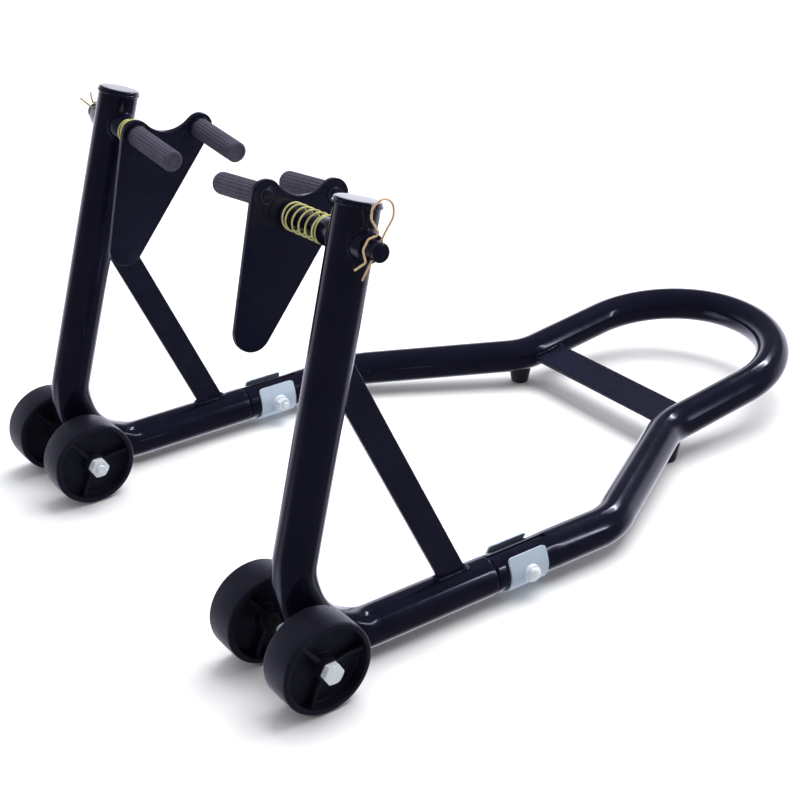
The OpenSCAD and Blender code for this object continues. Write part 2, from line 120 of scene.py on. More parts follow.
def finish(name, dark, light, rough, patch=40, grain=900, relief=0.06, depth=0.0003, metallic=0.0,
           stretch=(1, 1, 1), specks=None, cells=0, cell_tint=None, **sockets):
    """A material whose colour and roughness wander in patches, with a fine relief of its own."""
    made = bpy.data.materials.new(name)
    made.use_nodes = True
    tree = made.node_tree
    shader = tree.nodes["Principled BSDF"]
    shader.inputs["Metallic"].default_value = metallic
    for socket, value in sockets.items():
        shader.inputs[socket.replace("_", " ")].default_value = value
    place = node(tree, "TexCoord").outputs["Object"]
    where = node(tree, "Mapping", {"Vector": place, "Scale": stretch}).outputs[0]
    patches = noise(tree, where, patch, 4.0, 0.6)
    colour = blend_of(tree, patches, dark, light)
    height = noise(tree, where, grain, 2.0)
    rough_now = spread(tree, noise(tree, where, patch * 4, 3.0), rough[0], rough[1])
    if cells:
        flakes = node(tree, "TexVoronoi", {"Vector": place, "Scale": cells})
        hue = blend_of(tree, node(tree, "SeparateColor", {0: flakes.outputs["Color"]}).outputs[0],
                       light, cell_tint, 0.1, 0.9)
        colour = node(tree, "Mix", {0: patches, 6: colour, 7: hue}, data_type="RGBA").outputs[2]
        rough_now = node(tree, "Math", {0: rough_now, 1: spread(
            tree, flakes.outputs["Distance"], -0.02, 0.02, 0.0, 0.7)}, operation="ADD").outputs[0]
    if specks:
        dots = node(tree, "TexVoronoi", {"Vector": place, "Scale": 260.0, "Randomness": 1.0})
        near = spread(tree, dots.outputs["Distance"], 1.0, 0.0, 0.06, 0.11)
        rare = spread(tree, noise(tree, place, 55.0, 1.0), 0.0, 1.0, 0.6, 0.66)
        dust = node(tree, "Math", {0: near, 1: rare}, operation="MULTIPLY").outputs[0]
        colour = node(tree, "Mix", {0: dust, 6: colour, 7: (*specks, 1)}, data_type="RGBA").outputs[2]
    bump = node(tree, "Bump", {"Strength": relief, "Distance": depth, "Height": height})
    tree.links.new(colour, shader.inputs["Base Color"])
    tree.links.new(rough_now, shader.inputs["Roughness"])
    tree.links.new(bump.outputs[0], shader.inputs["Normal"])
    return made


COOL = (0.62, 0.64, 1.0, 1)  # tint of the gloss on black paint and plastic
gloss_black = finish("gloss_black_paint", (0.0026, 0.0026, 0.009), (0.0042, 0.0042, 0.013), (0.13, 0.19),
                     patch=18, grain=420, relief=0.035, specks=(0.02, 0.02, 0.032),
                     Specular_Tint=COOL, Coat_Weight=0.35, Coat_Roughness=0.05)
weld_black = finish("weld_black_paint", (0.003, 0.003, 0.010), (0.006, 0.006, 0.016), (0.12, 0.22),
                    patch=120, grain=700, relief=0.2, depth=0.0004,
                    Specular_Tint=COOL, Coat_Weight=0.5, Coat_Roughness=0.06)
sheet_black = finish("plate_black_paint", (0.0050, 0.0052, 0.0150), (0.0070, 0.0073, 0.0205), (0.22, 0.3),
                     patch=14, grain=520, relief=0.05, specks=(0.02, 0.02, 0.034),
                     Specular_Tint=COOL, Coat_Weight=0.2, Coat_Roughness=0.1)
zinc = finish("blue_zinc", (0.52, 0.63, 0.76), (0.62, 0.73, 0.85), (0.30, 0.40), patch=30, grain=1500,
              relief=0.05, metallic=0.35, cells=300, cell_tint=(0.56, 0.67, 0.82))
bolt_zinc = finish("bright_zinc", (0.74, 0.80, 0.88), (0.86, 0.91, 0.97), (0.20, 0.28), patch=90,
                   grain=2400, relief=0.05, metallic=0.2)
yellow_zinc = finish("yellow_zinc", (0.62, 0.60, 0.20), (0.84, 0.80, 0.38), (0.20, 0.28), patch=110,
                     grain=2600, relief=0.04, metallic=0.25)
clip_zinc = finish("bronze_zinc", (0.76, 0.45, 0.30), (0.86, 0.66, 0.38), (0.22, 0.30), patch=30,
                   grain=2600, relief=0.04, metallic=0.3)
bare_steel = finish("bare_steel", (0.24, 0.24, 0.26), (0.42, 0.42, 0.45), (0.35, 0.5), patch=90,
                    grain=1200, relief=0.12, metallic=0.9, stretch=(1, 1, 6))
wheel_plastic = finish("wheel_plastic", (0.006, 0.006, 0.012), (0.011, 0.0108, 0.019), (0.32, 0.45),
                       patch=60, grain=1400, relief=0.16, specks=(0.04, 0.04, 0.055),
                       Specular_Tint=COOL)
peg_rubber = finish("peg_rubber", (0.050, 0.047, 0.078), (0.074, 0.070, 0.106), (0.6, 0.78), patch=110,
                    grain=1900, relief=0.30, depth=0.0004, specks=(0.14, 0.14, 0.17))
foot_rubber = finish("foot_rubber", (0.008, 0.008, 0.012), (0.02, 0.02, 0.026), (0.55, 0.75), patch=140,
                     grain=1700, relief=0.35, depth=0.0004)
dark_zinc = finish("dark_zinc", (0.010, 0.010, 0.014), (0.022, 0.022, 0.028), (0.35, 0.5), patch=90,
                   grain=1500, relief=0.08, metallic=0.4)


# ---------------------------------------------------------------- mesh tools
def join(*meshes):
    verts, faces = [], []
    for v, f in meshes:
        faces += [[i + len(verts) for i in face] for face in f]
        verts += v
    return verts, faces


def mirrored(mesh):
    verts, faces = mesh
    return [Vector((-v.x, v.y, v.z)) for v in verts], [list(reversed(f)) for f in faces]


def placed(mesh, origin, e1, e2, e3):
    """A mesh drawn round the origin, moved so that its axes are e1, e2 and e3."""
    verts, faces = mesh
    return [origin + e1 * v.x + e2 * v.y + e3 * v.z for v in verts], faces


def skin(rings, closed_path=False, flip=False):
    """Faces between rings of points; each ring is a closed section."""
    n = len(rings[0])
    verts = [p for ring in rings for p in ring]
    faces = []
    for i in range(len(rings) if closed_path else len(rings) - 1):
        a, b = i * n, (i + 1) % len(rings) * n
        for k in range(n):
            q = [a + k, a + (k + 1) % n, b + (k + 1) % n, b + k]
            faces.append(q[::-1] if flip else q)
    return verts, faces


def capped(rings):
    verts, faces = skin(rings)
    n = len(rings[0])
    faces.append(list(range(n))[::-1])
    faces.append([len(verts) - n + k for k in range(n)])
    return verts, faces


def circle(radius, n):
    return [(radius * math.cos(2 * math.pi * k / n), radius * math.sin(2 * math.pi * k / n))
            for k in range(n)]


def fillet(points, radii, arc_step, step=None):
    """A path through points with rounded corners: a point every arc_step degrees of a corner, and
    no two points further apart than step."""
    out = [points[0]]
    for i in range(1, len(points) - 1):
        p = points[i]
        u, w = (points[i - 1] - p).normalized(), (points[i + 1] - p).normalized()
        turn = math.pi - u.angle(w)
        r = radii[i - 1]
        centre = p + (u + w).normalized() * (r / math.cos(turn / 2))
        e1 = (p + u * (r * math.tan(turn / 2)) - centre).normalized()
        n = max(2, round(math.degrees(turn) / arc_step))
        out += [centre + (e1 * math.cos(turn * k / n) - u * math.sin(turn * k / n)) * r
                for k in range(n + 1)]
    out.append(points[-1])
    if step:
        fine = [out[0]]
        for a, b in zip(out, out[1:]):
            parts = max(1, math.ceil((b - a).length / step))
            fine += [a.lerp(b, k / parts) for k in range(1, parts + 1)]
        out = fine
    return out


def lengths(path):
    total, out = 0.0, [0.0]
    for a, b in zip(path, path[1:]):
        total += (b - a).length
        out.append(total)
    return out


def swept(path, side, section):
    """Rings of section(i) points along a path, carried without twist; side is where they start."""
    rings, last = [], len(path) - 1
    for i, p in enumerate(path):
        along = (path[min(i + 1, last)] - path[max(i - 1, 0)]).normalized()
        side = (side - along * side.dot(along)).normalized()
        other = along.cross(side)
        rings.append([p + side * a + other * b for a, b in section(i)])
    return rings


def pipe(path, side, outer, inner):
    """A tube with a wall, open at both ends."""
    out, bore = swept(path, side, outer), swept(path, side, inner)
    n = len(out[0])
    verts, faces = join(skin(out), skin(bore, flip=True))
    b = len(out) * n
    for k in range(n):
        m = (k + 1) % n
        faces.append([m, k, b + k, b + m])
        e, g = b - n, 2 * b - n
        faces.append([e + k, e + m, g + m, g + k])
    return verts, faces


def rounding(distance, size):
    """How far a surface draws back near an end that is rounded by size."""
    d = max(0.0, size - distance)
    return size - math.sqrt(max(0.0, size * size - d * d))


def rod(path, radius, n, side):
    """A solid wire with rounded ends."""
    end = radius * 0.6
    first, last = (path[1] - path[0]).normalized(), (path[-1] - path[-2]).normalized()
    extra = [0.0, 0.12, 0.35, 0.65]
    path = ([path[0] + first * end * e for e in extra] + path[1:-1]
            + [path[-1] - last * end * e for e in reversed(extra)])
    s = lengths(path)
    return capped(swept(path, side, lambda i: circle(
        radius - rounding(min(s[i], s[-1] - s[i]), end), n)))


def turned(profile, n=48, closed=True):
    """A profile of (radius, height) points turned round local z, counter-clockwise points outward.
    A closed profile makes a ring; an open one starts and ends on the axis."""
    rings = []
    for r, h in profile:
        rings.append([Vector((r * math.cos(2 * math.pi * k / n), r * math.sin(2 * math.pi * k / n), h))
                      for k in range(n)])
    if closed:
        return skin(rings, closed_path=True)
    inner = rings[1:-1]
    verts, faces = skin(inner)
    for tip, row, flip in ((profile[0], 0, True), (profile[-1], (len(inner) - 1) * n, False)):
        verts.append(Vector((0, 0, tip[1])))
        for k in range(n):
            f = [row + k, row + (k + 1) % n, len(verts) - 1]
            faces.append(f[::-1] if flip else f)
    return verts, faces


def soft_corners(points, radii, steps):
    """A closed 2D outline with its corners rounded; a corner with radius 0 stays sharp."""
    out = []
    for i, (p, r) in enumerate(zip(points, radii)):
        if r <= 0:
            out.append(p)
            continue
        p = Vector(p)
        u = Vector(points[i - 1]) - p
        w = Vector(points[(i + 1) % len(points)]) - p
        turn = math.pi - u.angle(w)
        back = min(r * math.tan(turn / 2), 0.49 * u.length, 0.49 * w.length)
        r = back / math.tan(turn / 2)
        u, w = u.normalized(), w.normalized()
        centre = p + (u + w).normalized() * (r / math.cos(turn / 2))
        e1 = (p + u * back - centre).normalized()
        for k in range(steps + 1):
            t = turn * k / steps
            out.append(tuple(centre + (e1 * math.cos(t) - u * math.sin(t)) * r))
    return out


def slab(outline, low, high):
    """A flat outline given thickness along local z."""
    return capped([[Vector((a, b, h)) for a, b in outline] for h in (low, high)])


def hexagon(flats, height, bore=0.0, both_ends=False):
    """A hexagon head or nut with the turned chamfer on its corners."""
    n = 72
    flat_r, slope = flats / 2, math.tan(math.radians(28))
    top_r = flat_r * 0.955
    angles = [2 * math.pi * k / n for k in range(n)]
    side = [flat_r / math.cos((a % (math.pi / 3)) - math.pi / 6) for a in angles]

    def ring(radii, heights):
        return [Vector((r * math.cos(a), r * math.sin(a), h)) for a, r, h in zip(angles, radii, heights)]
    drop = [(r - top_r) * slope for r in side]
    low = ring(side, [d if both_ends else 0 for d in drop])
    rings = [low, ring(side, [height - d for d in drop]), ring([top_r] * n, [height] * n)]
    if both_ends:
        rings.insert(0, ring([top_r] * n, [0] * n))
    if not bore:
        rings.append(ring([top_r * 0.5] * n, [height - 0.05] * n))
        return capped(rings)
    rings += [ring([bore + 0.5] * n, [height] * n), ring([bore] * n, [height - 0.5] * n),
              ring([bore] * n, [0.5] * n), ring([bore + 0.5] * n, [0] * n)]
    return skin(rings, closed_path=True)


def bead(points, radius, seed, centre=None, closed=True, ripple=2.4):
    """A hand-laid weld: a lumpy rod with overlapping ripples along its run."""
    draw = random.Random(seed)
    path, step = [], 0.7
    loop = points + [points[0]] if closed else points
    for a, b in zip(loop, loop[1:]):
        parts = max(1, round((b - a).length / step))
        path += [a.lerp(b, k / parts) for k in range(parts)]
    if not closed:
        path.append(points[-1])
    s = lengths(path)
    waves = [(draw.uniform(0.05, 0.16), draw.uniform(0, 6.28), draw.choice((2, 3, 5, 7))) for _ in range(4)]
    total = s[-1] + (step if closed else 0)
    middle = centre or sum(path, Vector()) / len(path)
    rings = []
    for i, p in enumerate(path):
        before, after = i - 1, (i + 1) % len(path)
        if not closed:
            before, after = max(i - 1, 0), min(i + 1, len(path) - 1)
        along = (path[after] - path[before]).normalized()
        outward = p - middle
        outward = (outward - along * outward.dot(along)).normalized()
        other = along.cross(outward)
        scale = 1 + 0.10 * (1 - (s[i] / ripple % 1.0)) + sum(
            amp * math.sin(ph + k * 2 * math.pi * s[i] / total) for amp, ph, k in waves) * 0.8
        if not closed:
            scale *= math.sqrt(min(1, (min(s[i], s[-1] - s[i]) + 0.15) / radius))
        r = radius * scale * draw.uniform(0.97, 1.03)
        rings.append([p + outward * a + other * b for a, b in circle(r, 10)])
    return skin(rings, closed_path=True) if closed else capped(rings)


# ---------------------------------------------------------------- pieces
SHARP = 38  # an edge that turns by more degrees than this is a hard one


def piece(name, mesh, look, body, nodes=(), bevel=0.0, sharp=SHARP, segments=2, weighted=False):
    """One object of the model, riding on a CAD body and standing for CAD nodes."""
    verts, faces = mesh
    data = bpy.data.meshes.new(name)
    data.from_pydata([v * MM for v in verts], [], faces)
    data.validate()
    work = bmesh.new()
    work.from_mesh(data)
    bmesh.ops.remove_doubles(work, verts=work.verts, dist=1e-7)
    bmesh.ops.recalc_face_normals(work, faces=work.faces)
    work.to_mesh(data)
    work.free()
    data.polygons.foreach_set("use_smooth", [True] * len(data.polygons))
    data.set_sharp_from_angle(angle=math.radians(sharp))
    data.materials.append(look)
    obj = bpy.data.objects.new(name, data)
    bpy.context.scene.collection.objects.link(obj)
    if bevel:
        mod = obj.modifiers.new("edge", "BEVEL")
        mod.width, mod.segments = bevel * MM, segments
        mod.limit_method, mod.angle_limit = "ANGLE", math.radians(sharp)
        mod.harden_normals = True
    if weighted:
        mod = obj.modifiers.new("even", "WEIGHTED_NORMAL")
        mod.keep_sharp = True
    if body:
        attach(obj, body)
    if nodes:
        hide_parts(*nodes)
    return obj


def both(name, mesh, look, body="frame", nodes=(), **options):
    """The right-hand piece and its mirror image. {} in the body's name is the side."""
    made = []
    for side in ("right", "left"):
        shape = mesh if side == "right" else mirrored(mesh)
        made.append(piece(f"{side}_{name}", shape, look, body.format(side),
                          [f"{side}_{n}" for n in nodes], **options))
    return made


def cut_out(obj, cutter):
    """Takes a closed mesh out of a piece for good."""
    tool = piece("cutter", cutter, gloss_black, None)
    mod = obj.modifiers.new("cut", "BOOLEAN")
    mod.operation, mod.object, mod.solver = "DIFFERENCE", tool, "EXACT"
    bpy.context.view_layer.update()
    fresh = bpy.data.meshes.new_from_object(obj.evaluated_get(bpy.context.evaluated_depsgraph_get()))
    obj.modifiers.clear()
    fresh.name = obj.name
    obj.data = fresh
    fresh.polygons.foreach_set("use_smooth", [True] * len(fresh.polygons))
    fresh.set_sharp_from_angle(angle=math.radians(SHARP))
    bpy.data.objects.remove(tool)


# ---------------------------------------------------------------- frame tubes
TUBE_R, WALL = 19.0, 2.0
ARM_X, CORNER_Y, CORNER_Z, TOP_Z = 218.0, -389.0, 22.0, 404.0
RISE = math.tan(math.radians(0.65))
LEAN_FORWARD, LEAN_INWARD = math.tan(math.radians(14.5)), math.tan(math.radians(2.2))
ARM_BEND, PRESSED = 74.0, 15.0
JOINT_Y, SHOULDER_Y, NECK_Y, NECK_Z = -163.5, -11.0, 163.0, 34.5
LOOP_R, LOOP_Y, LOOP_Z, NECK_BEND = 118.0, 397.6, 67.0, 70.0
PRESS_FROM, PRESS_RUN, PRESS_BULGE = 18.0, 34.0, 1.2  # how the arm's bend is pressed narrower
SEAT_CUT, SEAT_LEN, SEAT_RUN = 0.48, 56.0, 20.0       # the handle's slimmer end inside the arm's clamp
HAIR = 0.02                                           # keeps a surface clear of the one it would touch


def arm_height(y):
    """Height of the right arm's centre line."""
    return CORNER_Z + (y - CORNER_Y) * RISE


corner = Vector((ARM_X, CORNER_Y, CORNER_Z))
up_dir = Vector((-LEAN_INWARD, LEAN_FORWARD, 1)).normalized()
arm_dir = Vector((0, 1, RISE)).normalized()
top = corner + up_dir * ((TOP_Z - CORNER_Z) / up_dir.z)
arm_end = Vector((ARM_X, JOINT_Y, arm_height(JOINT_Y)))
lateral = arm_dir.cross(up_dir).normalized()
front = lateral.cross(up_dir)
if front.y < 0:
    front = -front


def eased(t):
    """0 up to t = 0 and 1 from t = 1 on, with a smooth rise between."""
    t = min(1.0, max(0.0, t))
    return t * t * (3 - 2 * t)


def arm_tubes():
    path = fillet([top, corner, arm_end], [ARM_BEND], 2.5, 6.0)
    path = path[:-1] + [arm_end - arm_dir * d for d in (4.0, 1.6, 0.9, 0.4, 0.12, 0.0)]
    s = lengths(path)
    turn = math.pi - up_dir.angle(arm_dir)
    setback = ARM_BEND / math.tan(turn / 2)
    first = (top - corner).length - setback - PRESS_FROM
    last = s[-1] - ((arm_end - corner).length - setback - PRESS_FROM)

    def section(wall):
        def points(i):
            k = eased((s[i] - first) / PRESS_RUN + 0.5) * eased((last - s[i]) / PRESS_RUN + 0.5)
            half, deep = TUBE_R - (TUBE_R - PRESSED) * k - wall, TUBE_R + PRESS_BULGE * k - wall
            draw_in = rounding(s[-1] - s[i], 1.2) if not wall else 0
            half, deep, e = half - draw_in, deep - draw_in, 2 / (2 + 0.9 * k)
            out = []
            for q in range(72):
                c, d = math.cos(math.pi * q / 36), math.sin(math.pi * q / 36)
                out.append((half * math.copysign(abs(c) ** e, c), deep * math.copysign(abs(d) ** e, d)))
            return out
        return points
    both("arm_tube_form", pipe(path, lateral, section(0), section(WALL)), gloss_black, nodes=["arm_tube"])


half_handle = [Vector((ARM_X, JOINT_Y + 1, arm_height(JOINT_Y + 1))),
               Vector((ARM_X, SHOULDER_Y, arm_height(SHOULDER_Y))),
               Vector((LOOP_R, NECK_Y, NECK_Z)), Vector((LOOP_R, LOOP_Y, LOOP_Z))]
handle_points = half_handle + [Vector((-p.x, p.y, p.z)) for p in reversed(half_handle)]
handle_line = fillet(handle_points, [NECK_BEND, NECK_BEND, LOOP_R - 1, LOOP_R - 1, NECK_BEND, NECK_BEND],
                     2.5, 5.0)
SLOT_LEN, SLOT_R = 65.5, 3.0
ROUND = 80  # points round the handle tube


def handle_tube():
    ends = (0.0, 0.15, 0.5, 1.0, 2.5)
    way = [handle_line[0] + arm_dir * d for d in ends]
    path = way + handle_line[1:-1] + [Vector((-p.x, p.y, p.z)) for p in reversed(way)]
    s = lengths(path)

    def radius(i):
        d = min(s[i], s[-1] - s[i])
        return TUBE_R - HAIR - SEAT_CUT * (1 - eased((d - SEAT_LEN) / SEAT_RUN)) - rounding(d, 1.0)
    tube = piece("handle_tube_form", pipe(path, X, lambda i: circle(radius(i), ROUND),
                                          lambda i: circle(TUBE_R - WALL, ROUND)),
                 gloss_black, "frame", ["handle_tube"])
    low, high = arm_height(JOINT_Y) + 9, arm_height(JOINT_Y) + 40
    outline = [(-SLOT_R, JOINT_Y - 6), (SLOT_R, JOINT_Y - 6)]
    outline += [(SLOT_R * math.cos(a), JOINT_Y + SLOT_LEN + SLOT_R * math.sin(a))
                for a in [k * math.pi / 16 for k in range(17)]]
    shape = [Vector((ARM_X + a, b, 0)) for a, b in outline]
    cutter = capped([[p + Z * low for p in shape], [p + Z * high for p in shape]])
    cut_out(tube, join(cutter, mirrored(cutter)))


# ---------------------------------------------------------------- flat bars, caps and their welds
BRACE_W, BRACE_T, BRACE_FOOT_Y, BRACE_TOP_Z = 27.0, 5.0, -202.0, 267.0
CROSS_W, CROSS_T, CROSS_Y = 41.0, 5.0, 186.0
CAP_T = 3.5
BAR_BEVEL = 0.7
SUNK = 6.0       # a brace's ends start this far inside the tubes that it joins
WELD_RISE = 0.3  # a bead's centre lies this far above the tube


def bar(width, thickness, length):
    """A flat bar along local z, thin in x."""
    corners = [(-thickness / 2, -width / 2), (thickness / 2, -width / 2),
               (thickness / 2, width / 2), (-thickness / 2, width / 2)]
    return slab(corners, 0, length)


def braces():
    foot = Vector((ARM_X, BRACE_FOOT_Y, arm_height(BRACE_FOOT_Y) + TUBE_R - SUNK))
    head = corner + (top - corner) * ((BRACE_TOP_Z - CORNER_Z) / (TOP_Z - CORNER_Z)) + Y * (TUBE_R - SUNK)
    along = (head - foot).normalized()
    across = X - along * X.dot(along)
    across.normalize()
    wide = along.cross(across)
    length = (head - foot).length
    both("brace_form", placed(bar(BRACE_W, BRACE_T, length + 13), foot - along * 7, across, wide, along),
         sheet_black, nodes=["brace"], bevel=BAR_BEVEL, weighted=True)
    aside, beyond = 3.4, 1.2  # how far the beads run outside the bar's faces and edges

    def on_arm(y, x):
        return Vector((ARM_X + x, y, arm_height(y) + math.sqrt(TUBE_R ** 2 - x * x) + WELD_RISE))

    def on_upright(s, x):
        return corner + up_dir * s + front * (math.sqrt(TUBE_R ** 2 - x * x) + WELD_RISE) + lateral * x
    reach = BRACE_W / 2 / math.sin(math.atan2(along.z, -along.y))
    contact = BRACE_FOOT_Y - SUNK * abs(along.y) / along.z
    low, high = contact - reach - beyond, contact + reach + beyond
    foot_loop = [on_arm(low, -aside), on_arm(high, -aside), on_arm(high, aside), on_arm(low, aside)]
    slant = math.acos(min(1, abs(along.dot(up_dir))))
    middle = (head - along * SUNK - corner).dot(up_dir)
    reach = BRACE_W / 2 / math.sin(slant) + beyond
    head_loop = [on_upright(middle - reach, -aside), on_upright(middle + reach, -aside),
                 on_upright(middle + reach, aside), on_upright(middle - reach, aside)]
    both("brace_welds", join(bead(foot_loop, 2.0, 11), bead(head_loop, 2.0, 12)), weld_black)


def line_at(y):
    """Centre of the right side of the handle tube where it passes y, before the loop."""
    for a, b in zip(handle_line, handle_line[1:]):
        if a.y <= y <= b.y:
            return a.lerp(b, (y - a.y) / (b.y - a.y))
    return half_handle[-1]


def crossbar():
    slope = (LOOP_Z - NECK_Z) / (LOOP_Y - NECK_Y)
    along = Vector((0, 1, slope)).normalized()
    middle = Vector((0, CROSS_Y, NECK_Z + (CROSS_Y - NECK_Y) * slope))
    reach = LOOP_R - TUBE_R + 4
    flat = bar(CROSS_W, CROSS_T, 2 * reach)
    piece("handle_crossbar_form", placed(flat, middle - X * reach, along.cross(X), along, X), sheet_black,
          "frame", ["handle_crossbar"], bevel=BAR_BEVEL, weighted=True)
    normal, height = X.cross(along), CROSS_T / 2 + 0.9
    welds = []
    for k, side in enumerate((1, -1)):
        run = []
        for j in range(9):
            y = CROSS_Y - CROSS_W / 2 + CROSS_W * j / 8
            run.append(line_at(y) + normal * height * side
                       - X * (math.sqrt(TUBE_R ** 2 - height ** 2) + 0.2))
        welds.append(bead(run, 2.0, 21 + k, centre=run[4] + X * 9, closed=False))
    both("crossbar_welds", join(*welds), weld_black)


def top_caps():
    r = TUBE_R + 0.55
    profile = [(0, CAP_T), (r - 6, CAP_T - 0.02), (r - 1.5, CAP_T - 0.12), (r - 0.7, CAP_T - 0.35),
               (r - 0.15, CAP_T - 0.9), (r, CAP_T - 1.6), (r, 0.9), (r - 0.3, 0.3), (r - 1.0, 0.0), (0, 0)]
    disc = turned(profile[::-1], 72, closed=False)
    other = up_dir.cross(lateral)
    both("top_cap_form", placed(disc, top, lateral, other, up_dir), gloss_black, nodes=["top_cap"])
    ring = [top + up_dir * -0.6 + (lateral * math.cos(a) + other * math.sin(a)) * (TUBE_R + 0.15)
            for a in [2 * math.pi * k / 48 for k in range(48)]]
    both("top_cap_welds", bead(ring, 1.25, 31, ripple=3.1), weld_black)


# ---------------------------------------------------------------- cradles
pivot = joint_at["right_cradle_swing"]
pin_dir = joint_axis["right_cradle_swing"]
pin_up = pin_dir.cross(Y)
BUSH_R, BUSH_IN, BUSH_OUT = 12.5, -32.0, 27.0
PIN_R, PIN_END, RUN_GAP = 8.0, 42.0, 0.07
PLATE_REACH, PLATE_DROOP, SWING = 90.0, 3.6, 3.2
PLATE_IN, PLATE_OUT = -PLATE_REACH - 2.5, -PLATE_REACH + 2.5
COLLAR_H = 4.5
REAR_LUG, FRONT_LUG, TIP, VALLEY = (-21.5, 18.2), (43.5, 10.7), (-41.0, -92.3), (14.6, 45.3)
LUG_R, TIP_R, VALLEY_R = 14.0, 17.5, 31.0
PEG_R, PEG_LEN, PEG_RIBS, GROOVE_R = 9.7, 69.0, 20, 0.85
SPRING_R, SPRING_WIRE, COILS = 11.7, 0.8, 6.5
CLIP_AT, CLIP_TILT, CLIP_R = 34.0, -31.0, 0.9
LEFT_CLIP_TURN = 253.0


def on_pin(w, y=0.0, up=0.0):
    return pivot + pin_dir * w + Y * y + pin_up * up


def round_pin(mesh, w=0.0, y=0.0, up=0.0):
    """A mesh drawn round local z, set on the pin's line or beside it."""
    return placed(mesh, on_pin(w, y, up), Y, pin_up, pin_dir)


def plate_axes(turn):
    """Along, up and outward directions of a cradle plate that has swung by turn degrees."""
    t, d = math.radians(turn), math.radians(PLATE_DROOP)
    above = pin_up * math.cos(t) - Y * math.sin(t)
    return (Y * math.cos(t) + pin_up * math.sin(t), above * math.cos(d) - pin_dir * math.sin(d),
            pin_dir * math.cos(d) + above * math.sin(d))


def on_plate(turn, w=0.0, y=0.0, up=0.0):
    along, above, outward = plate_axes(turn)
    return on_pin(-PLATE_REACH) + outward * (w + PLATE_REACH) + along * y + above * up


def plate_fixed(turn, mesh, w=0.0, y=0.0, up=0.0):
    """A mesh drawn round local z, set square on the cradle plate."""
    return placed(mesh, on_plate(turn, w, y, up), *plate_axes(turn))


def cradle_pair(name, shape, look, nodes=(), **options):
    """A cradle piece for each side: shape(turn) draws it for a right cradle swung by turn degrees."""
    for side, turn in (("right", -SWING), ("left", SWING)):
        mesh = shape(turn)
        piece(f"{side}_{name}", mesh if side == "right" else mirrored(mesh), look,
              f"{side}_cradle", [f"{side}_{n}" for n in nodes], **options)


def saddle(radius, outside):
    """The line where a round bar on the pin's axis meets the upright."""
    out = []
    a = pin_dir.dot(up_dir)
    for k in range(48):
        t = 2 * math.pi * k / 48
        e = Y * radius * math.cos(t) + pin_up * radius * math.sin(t)
        b = e.dot(up_dir)
        root = math.sqrt((a * b) ** 2 - (1 - a * a) * (radius ** 2 - b * b - (TUBE_R + 0.3) ** 2))
        w = (a * b + (root if outside else -root)) / (1 - a * a)
        out.append(pivot + pin_dir * w + e)
    return out


def bushes():
    r, bore = BUSH_R, PIN_R + RUN_GAP
    profile = [(bore + 0.5, BUSH_IN), (r - 0.7, BUSH_IN), (r - 0.2, BUSH_IN + 0.2), (r, BUSH_IN + 0.7),
               (r, BUSH_OUT - 0.7), (r - 0.2, BUSH_OUT - 0.2), (r - 0.7, BUSH_OUT), (bore + 0.5, BUSH_OUT),
               (bore, BUSH_OUT - 0.5), (bore, BUSH_IN + 0.5)]
    both("pivot_bush_form", round_pin(turned(profile, 56)), gloss_black, nodes=["pivot_bush"])
    both("pivot_bush_welds", join(bead(saddle(BUSH_R + 0.3, True), 1.25, 41, ripple=2.8),
                                  bead(saddle(BUSH_R + 0.3, False), 1.6, 42, ripple=2.8)), weld_black)


def arc(centre, radius, start, end, step=5.0):
    n = max(2, round(abs(end - start) / step))
    return [(centre[0] + radius * math.cos(math.radians(start + (end - start) * k / n)),
             centre[1] + radius * math.sin(math.radians(start + (end - start) * k / n)))
            for k in range(n + 1)]


def bearing(a, b):
    return math.degrees(math.atan2(b[1] - a[1], b[0] - a[0]))


def plate_outline():
    """Three round corners joined by straight edges, with a hollow between the two lugs."""
    def tangent(lug, sign):
        reach = math.dist(TIP, lug)
        return bearing(TIP, lug) + sign * math.degrees(math.acos((TIP_R - LUG_R) / reach))
    low, high = tangent(FRONT_LUG, -1), tangent(REAR_LUG, 1)
    return (arc(FRONT_LUG, LUG_R, low, bearing(FRONT_LUG, VALLEY))
            + arc(VALLEY, VALLEY_R, bearing(VALLEY, FRONT_LUG), bearing(VALLEY, REAR_LUG))[1:-1]
            + arc(REAR_LUG, LUG_R, bearing(REAR_LUG, VALLEY), high)
            + arc(TIP, TIP_R, high, low + 360))


def plates():
    sheet = slab(plate_outline(), PLATE_IN, PLATE_OUT)
    cradle_pair("cradle_plate_form", lambda turn: plate_fixed(turn, sheet), sheet_black,
                ["cradle_plate"], bevel=0.8, segments=3, weighted=True)

    def ring(turn, w, radius, lug=(0, 0)):
        return [on_plate(turn, w, lug[0] + radius * math.cos(a), lug[1] + radius * math.sin(a))
                for a in [2 * math.pi * j / 36 for j in range(36)]]

    def welds(turn):
        made = [bead(ring(turn, PLATE_OUT + 0.9, 9.6), 1.9, 55)]
        for k, lug in enumerate((REAR_LUG, FRONT_LUG)):
            made.append(bead(ring(turn, PLATE_IN - 0.7, 9.2, lug), 1.5, 51 + k))
            made.append(bead(ring(turn, PLATE_OUT + 0.05, 7.0, lug), 0.75, 57 + k))
        return join(*made)
    cradle_pair("cradle_welds", welds, weld_black)

    def plugs(turn):
        profile = [(0, 0.0), (6.6, 0.0), (6.8, 0.2), (6.4, 0.45), (4.4, 0.8), (0, 0.95)]
        dome = turned(profile, 40, closed=False)
        return join(*[plate_fixed(turn, dome, PLATE_OUT - 0.05, *lug) for lug in (REAR_LUG, FRONT_LUG)])
    cradle_pair("peg_plugs", plugs, sheet_black)


